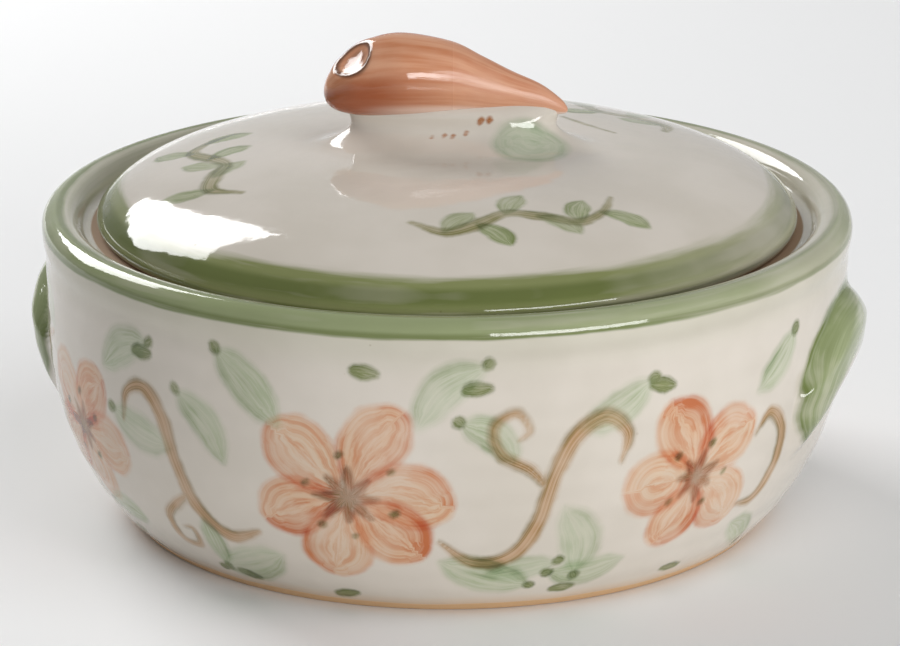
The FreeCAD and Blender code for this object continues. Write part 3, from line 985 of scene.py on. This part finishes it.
# Each band: ink, deeper ink, its load from the dry to the wet end of the brush's way round,
# as two places along X in mm and the two loads, and the height in mm at which the piece's
# clear glaze stops. The lid is glazed all over but for its seat
BANDS = {
    "lip": ("#97A279", "#707C4C", (95.0, -10.0, 0.78, 1.15), 2.4),
    "lid": ("#868E5C", "#5E6A34", (78.0, 18.0, 0.66, 1.18), -20.0),
}


def glazed(name, brush, layers, band):
    """Stoneware under a clear gloss glaze: a warm grey body, painting that looks wet under
    the glaze, sharp reflections that waver where the glaze ran, and a bare foot."""
    material = empty_material(name)
    tree = material.node_tree
    where = add(tree, "ShaderNodeTexCoord").outputs["Object"]
    part = add(tree, SPLIT, (where,)).outputs
    height = add(tree, MATHS, (part["Z"], 1000.0), operation="MULTIPLY")
    flat = add(tree, VECTORS, (where, (1000.0, 1000.0, 0.0)), operation="MULTIPLY")
    radius = add(tree, VECTORS, (flat,), operation="LENGTH").outputs["Value"]
    # Clouds of warmer and greyer glaze, some 30 mm across, and iron specks under 1 mm
    cloud = add(tree, NOISE, {"Vector": where, "Scale": 28.0, "Detail": 3.0})
    speck = {"Vector": where, "Scale": 130.0, "Randomness": 1.0}
    speck = add(tree, "ShaderNodeTexVoronoi", speck).outputs
    chance = add(tree, "ShaderNodeSeparateColor", (speck["Color"],))
    specks = zone(tree, (chance, 0.86, 0.9), (speck["Distance"], 0.075, 0.035))
    clouds = zone(tree, (cloud, 0.35, 0.65))
    body = ((clouds, 1.0, linear("#D3CBC0")), (specks, 0.5, linear("#9C8B74")))
    colour = washed(tree, linear("#CCC4B8"), body)
    colour = painted(tree, brush, where, colour, layers)
    # The bands are brushed on the turning wheel, in streaks some 50 mm long and 1 mm wide
    round_pot = add(tree, VECTORS, (flat,), operation="NORMALIZE")
    rows = add(tree, MATHS, (radius, height), operation="ADD")
    rows = add(tree, MATHS, (rows, 0.7), operation="MULTIPLY")
    rows = add(tree, JOIN, {"X": 0.0, "Y": 0.0, "Z": rows})
    swept = (round_pot, (2.2, 2.2, 0.0), rows)
    swept = add(tree, VECTORS, swept, operation="MULTIPLY_ADD")
    sweep = add(tree, NOISE, {"Vector": swept, "Scale": 1.0, "Detail": 3.0})
    # They are thinner towards the lug on +X, where the brush ran dry
    patches = add(tree, NOISE, {"Vector": where, "Scale": 9.0, "Detail": 1.0})
    across = add(tree, MATHS, (part["X"], 1000.0), operation="MULTIPLY")
    dryness = (patches, -40.0, across)
    dryness = add(tree, MATHS, dryness, operation="MULTIPLY_ADD")
    ink, deep_ink, drying, foot = BANDS[band]
    load = zone(tree, (sweep, 0.34, 0.66, 0.7, 1.08), (dryness, *drying))
    # Borders waver by less than a millimetre over some 20 mm
    waver = add(tree, NOISE, {"Vector": where, "Scale": 45.0, "Detail": 2.0})
    waver = add(tree, MATHS, (waver, 1.4, -0.7), operation="MULTIPLY_ADD")
    if band == "lip":
        amount, pool, bare_seat_shaded = lip_band(tree, height, radius, waver)
    else:
        amount, pool, bare_seat_shaded = edge_band(tree, height, radius, sweep)
    amount = add(tree, MATHS, (amount, load), operation="MULTIPLY", use_clamp=True)
    if band == "lip":
        # A thin veil of the band's colour ran some 10 mm down the wall
        ran = add(tree, MATHS, (waver, 3.0, height), operation="MULTIPLY_ADD")
        veil = zone(tree, (ran, 74.0, 88.0, 0.0, 0.22), (height, 90.0, 89.0))
        amount = add(tree, MATHS, (amount, veil), operation="MAXIMUM")
    ink = washed(tree, over_glaze(ink), ((pool, 0.8, over_glaze(deep_ink)),))
    # The glaze stops above the foot and is wiped off where lid and dish meet. There the clay is
    # bare, and toasted next to the glaze.
    # Where lid and dish meet, the bare clay is painted darker than at the foot, as painted
    # shade in the gap between them
    low = add(tree, MATHS, (height, waver), operation="ADD")
    bare = zone(tree, (low, foot + 0.7, foot))
    low = add(tree, MATHS, (waver, 2.0, height), operation="MULTIPLY_ADD")
    toast = zone(tree, (low, foot + 4.2, foot + 0.4))
    tints = ((amount, 1.0, ink), (toast, 0.45, over_glaze("#D0AE8A")))
    colour = washed(tree, colour, tints, "MULTIPLY")
    # Painted shade: the bare clay where lid and dish meet gets a darker colour than the foot's
    # bare clay
    clays = ((bare, 1.0, linear("#CBA77E")), (bare_seat_shaded, 1.0, linear("#A1866C")))
    colour = washed(tree, colour, clays)
    unglazed = add(tree, MATHS, (bare, bare_seat_shaded), operation="MAXIMUM")
    rough = zone(tree, (unglazed, 0.0, 1.0, 0.07, 0.8))
    # Slow waves of run glaze, 12 mm long, and fine orange peel, 2 mm
    waves = add(tree, NOISE, {"Vector": where, "Scale": 80.0, "Detail": 2.0})
    waves = add(tree, MATHS, (waves, 0.5), operation="MULTIPLY")
    peel = add(tree, NOISE, {"Vector": where, "Scale": 520.0, "Detail": 2.0})
    relief = add(tree, MATHS, (peel, 0.035, waves), operation="MULTIPLY_ADD")
    under_gloss(tree, colour, rough, relief, 0.35, 0.0012)
    return material


def terracotta_wash(name):
    """The fruit's glaze: an iron-red wash brushed along it, thick and dark in the hollow of
    the blossom end and low on the bulb, and paler along its lower flank."""
    material = empty_material(name)
    tree = material.node_tree
    where = add(tree, "ShaderNodeTexCoord").outputs["Object"]
    grain = add(tree, "ShaderNodeAttribute", attribute_name="grain").outputs["Vector"]
    part = add(tree, SPLIT, (grain,)).outputs
    along, up = part["X"], part["Z"]
    hollow = add(tree, "ShaderNodeAttribute", attribute_name="hollow").outputs["Vector"]
    hollow = add(tree, SPLIT, (hollow,)).outputs["X"]
    drawn = add(tree, VECTORS, (grain, (2.6, 2.4, 2.4)), operation="MULTIPLY")
    streaks = add(tree, NOISE, {"Vector": drawn, "Scale": 2.2, "Detail": 5.0})
    clouds = add(tree, NOISE, {"Vector": where, "Scale": 70.0, "Detail": 3.0})
    cloud = zone(tree, (clouds, 0.3, 0.7))
    # Thinner and paler towards the stem end, which starts halfway along
    thinning = add(tree, MATHS, (cloud, 0.16, along), operation="MULTIPLY_ADD")
    washes = (
        (zone(tree, (streaks, 0.32, 0.68)), 1.0, linear("#C07A52")),
        (cloud, 0.4, linear("#D0A083")),
        (zone(tree, (thinning, 0.42, 0.92)), 0.5, linear("#D0987C")),
        # The bulb's dark underside
        (zone(tree, (along, 0.56, 0.34), (up, 0.5, -0.15)), 0.85, linear("#93431A")),
        # A pale band along the flank, and amber where the glaze ran to the lowest edge
        (zone(tree, (up, -0.5, -0.72), (along, 0.3, 0.5)), 0.85, linear("#E9CDBD")),
        (zone(tree, (up, -0.86, -0.97)), 0.7, linear("#C98F55")),
        # The dark ring round the hollow, and the hollow itself
        (zone(tree, (hollow, 4.6, 5.8), (hollow, 7.4, 6.4)), 0.75, linear("#45291C")),
        (zone(tree, (hollow, 4.4, 2.6)), 0.45, linear("#7A4A36")),
    )
    colour = washed(tree, linear("#D69E7C"), washes)
    # The wash lies drier over the stem's half, which shines less sharply
    rough = zone(tree, (along, 0.45, 0.53, 0.08, 0.33))
    waves = add(tree, NOISE, {"Vector": where, "Scale": 150.0, "Detail": 2.0})
    waves = add(tree, MATHS, (waves, 0.5), operation="MULTIPLY")
    ridges = add(tree, NOISE, {"Vector": drawn, "Scale": 3.0, "Detail": 3.0})
    relief = add(tree, MATHS, (ridges, 0.25, waves), operation="MULTIPLY_ADD")
    under_gloss(tree, colour, rough, relief, 0.3, 0.001)
    return material


# The studio: places are given to the camera's right, away from it and up, in metres

# Each lamp: place, width and height, power in watts, aim, and whether the glaze shows it
LAMPS = {
    "back_left_softbox": ((-0.92, 1.08, 1.02), (0.95, 0.8), 21.0, (0, 0, 0.08), True),
    "front_right_window": ((0.85, -1.3, 0.36), (1.15, 0.36), 15.0, (0, 0, 0.08), True),
    "front_right_key": ((0.75, -0.6, 1.4), (1.1, 1.0), 7.0, (0, 0, 0.08), False),
    "backdrop_light": ((-0.45, 1.5, 0.06), (0.9, 0.15), 12.0, (-0.35, 2.9, 1.1), False),
}
# The table: its front edge, where its sweep starts, the sweep's radius, where its top
# leans back to, and half its width
TABLE_FRONT = -0.5
SWEEP_START = 1.8
SWEEP_RADIUS = 1.2
BACKDROP_TOP = (3.0, 3.2)
TABLE_HALF_WIDTH = 3.0
ROOM_LIGHT = 0.258


def from_camera(x, y, z):
    """A place given to the camera's right, away from it and up, in the pot's frame."""
    cosine = math.cos(math.radians(CAMERA_TURN))
    sine = math.sin(math.radians(CAMERA_TURN))
    return Vector((cosine * x - sine * y, sine * x + cosine * y, z))


def turned_to(name, data, spot, aim):
    """A camera or lamp at one place in the studio, turned to another."""
    made = in_scene(name, data)
    made.location = from_camera(*spot)
    way = from_camera(*aim) - made.location
    made.rotation_euler = way.to_track_quat("-Z", "Y").to_euler()
    return made


def make_camera():
    right, away, up = CAMERA_AIM
    away -= CAMERA_DISTANCE * math.cos(math.radians(CAMERA_TILT))
    up += CAMERA_DISTANCE * math.sin(math.radians(CAMERA_TILT))
    camera = bpy.data.cameras.new("camera")
    camera.lens = CAMERA_LENS
    camera.sensor_width = CAMERA_SENSOR
    camera.clip_end = 20.0
    bpy.context.scene.camera = turned_to("camera", camera, (right, away, up), CAMERA_AIM)


def make_lamp(name, spot, size, power, aim, in_reflections):
    lamp = bpy.data.lights.new(name, "AREA")
    lamp.shape = "RECTANGLE"
    lamp.size, lamp.size_y = size
    lamp.energy = power
    made = turned_to(name, lamp, spot, aim)
    made.visible_camera = False
    made.visible_glossy = in_reflections


def make_table():
    """A white paper sweep: flat under the pot, and curved up behind it."""
    paper = bpy.data.materials.new("matt_white_paper_table")
    paper.use_nodes = True
    surface = paper.node_tree.nodes["Principled BSDF"].inputs
    surface["Base Color"].default_value = linear("#F0F0F0")
    surface["Roughness"].default_value = 0.85
    surface["Specular IOR Level"].default_value = 0.2
    outline = [(TABLE_FRONT, 0.0)]
    for a in np.linspace(0, math.pi / 2, 14):
        rise = SWEEP_RADIUS - SWEEP_RADIUS * math.cos(a)
        outline.append((SWEEP_START + SWEEP_RADIUS * math.sin(a), rise))
    outline.append(BACKDROP_TOP)
    sides = (-TABLE_HALF_WIDTH, TABLE_HALF_WIDTH)
    points = [tuple(from_camera(x, y, z)) for y, z in outline for x in sides]
    faces = [(2 * i, 2 * i + 1, 2 * i + 3, 2 * i + 2) for i in range(len(outline) - 1)]
    floor = in_scene("table", smooth_mesh("table", points, faces, paper))


def make_room():
    """The even light of the room round the table."""
    world = bpy.data.worlds.new("studio")
    world.use_nodes = True
    surround = world.node_tree.nodes["Background"].inputs
    surround["Color"].default_value = linear("#F4F6F8")
    surround["Strength"].default_value = ROOM_LIGHT
    bpy.context.scene.world = world
    bpy.context.scene.view_settings.view_transform = "Standard"


make_camera()
make_table()
for lamp_name, settings in LAMPS.items():
    make_lamp(lamp_name, *settings)
make_room()
brush = brush_tree()
make_dish(glazed("painted_stoneware_dish_clear_glaze", brush, DISH_LAYERS, "lip"))
make_lid(glazed("painted_stoneware_lid_clear_glaze", brush, LID_LAYERS, "lid"))
make_fruit(terracotta_wash("iron_red_wash_clear_glaze"))
